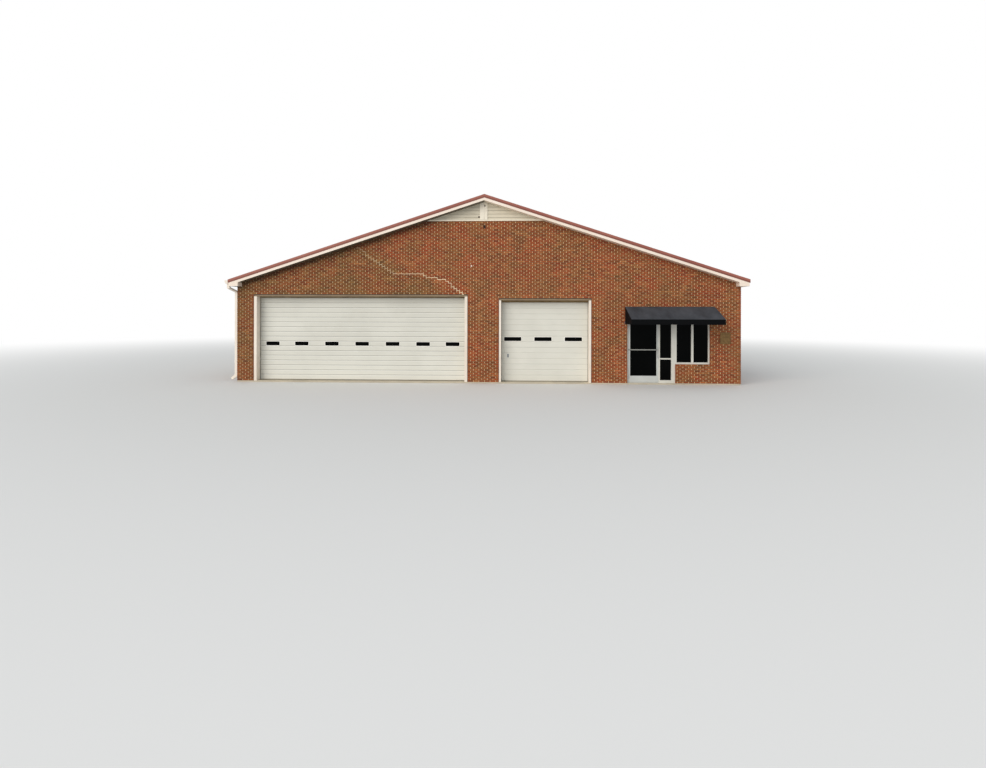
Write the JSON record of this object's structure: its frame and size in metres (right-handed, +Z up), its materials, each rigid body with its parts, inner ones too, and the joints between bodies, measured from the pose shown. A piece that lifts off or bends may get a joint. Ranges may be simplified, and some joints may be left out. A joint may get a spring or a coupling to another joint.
{
  "type": "fire station building, single storey with two vehicle bays",
  "caption": "Single-storey brick fire station building with sectional bay doors, a glazed entry under an awning and a low gabled red metal roof.",
  "frame": {"origin": "on the ground at the middle of the brick footprint, on the underside of the floor slab", "axes": "+Z up, -Y out of the front with the bay doors, +X to the right seen from the front"},
  "size_m": [18.8278, 19.718, 6.811],
  "materials": {
    "brick": "matte",
    "concrete": "matte",
    "siding": "matte",
    "white_trim": "satin",
    "door_steel": "satin",
    "tan_steel": "satin",
    "dark_glass": "gloss",
    "seal_rubber": "matte",
    "door_hardware": "satin",
    "frame_metal": "satin",
    "bright_metal": "satin",
    "awning_tube": "satin",
    "awning_fabric": "matte",
    "roof_boarding": "matte",
    "roof_metal": "satin",
    "plaque_metal": "satin"
  },
  "bodies": {
    "root": {"floor_slab": "concrete", "front_wall_left_pier": "brick", "front_wall_middle_pier": "brick", "front_wall_entry_pier": "brick", "front_wall_window_sill": "brick", "front_wall_right_pier": "brick", "front_wall_small_door_head": "brick", "front_wall_entry_head": "brick", "front_wall_gable": "brick", "left_wall": "brick", "right_wall": "brick", "back_wall": "brick", "gable_siding": "siding", "gable_boards": "siding", "large_door_jambs": "white_trim", "large_door_sections": "door_steel", "small_door_jambs": "white_trim", "small_door_sections": "door_steel", "bay_door_heads": "tan_steel", "bay_door_windows": "dark_glass", "bay_door_window_frames": "white_trim", "bay_door_seals": "seal_rubber", "small_door_handle": "door_hardware", "entry_frame": "frame_metal", "entry_sidelight_glass": "dark_glass", "entry_hinges": "bright_metal", "window_frames": "frame_metal", "window_glass": "dark_glass", "awning_frame": "awning_tube", "awning_cover": "awning_fabric", "roof_deck_left": "roof_boarding", "roof_deck_right": "roof_boarding", "roof_sheet_left": "roof_metal", "roof_sheet_right": "roof_metal", "ridge_cap": "roof_metal", "rake_trim": "roof_metal", "rake_fascia": "white_trim", "eave_box_left": "white_trim", "eave_box_right": "white_trim", "gutter_back": "white_trim", "gutter_floor": "white_trim", "gutter_front": "white_trim", "gutter_ends": "white_trim", "downspout": "white_trim", "plaque": "plaque_metal"},
    "entry_door": {"entry_door_leaf": "frame_metal", "entry_door_glass": "dark_glass", "entry_door_hinges": "bright_metal", "entry_door_handles": "bright_metal"}
  },
  "joints": [
    {"name": "entry_door_hinge", "type": "hinge", "parent": "root", "child": "entry_door", "pos_m": [5.1843, -9.078, 1.148], "axis": [0, 0, -1], "range_deg": [0, 90]}
  ]
}
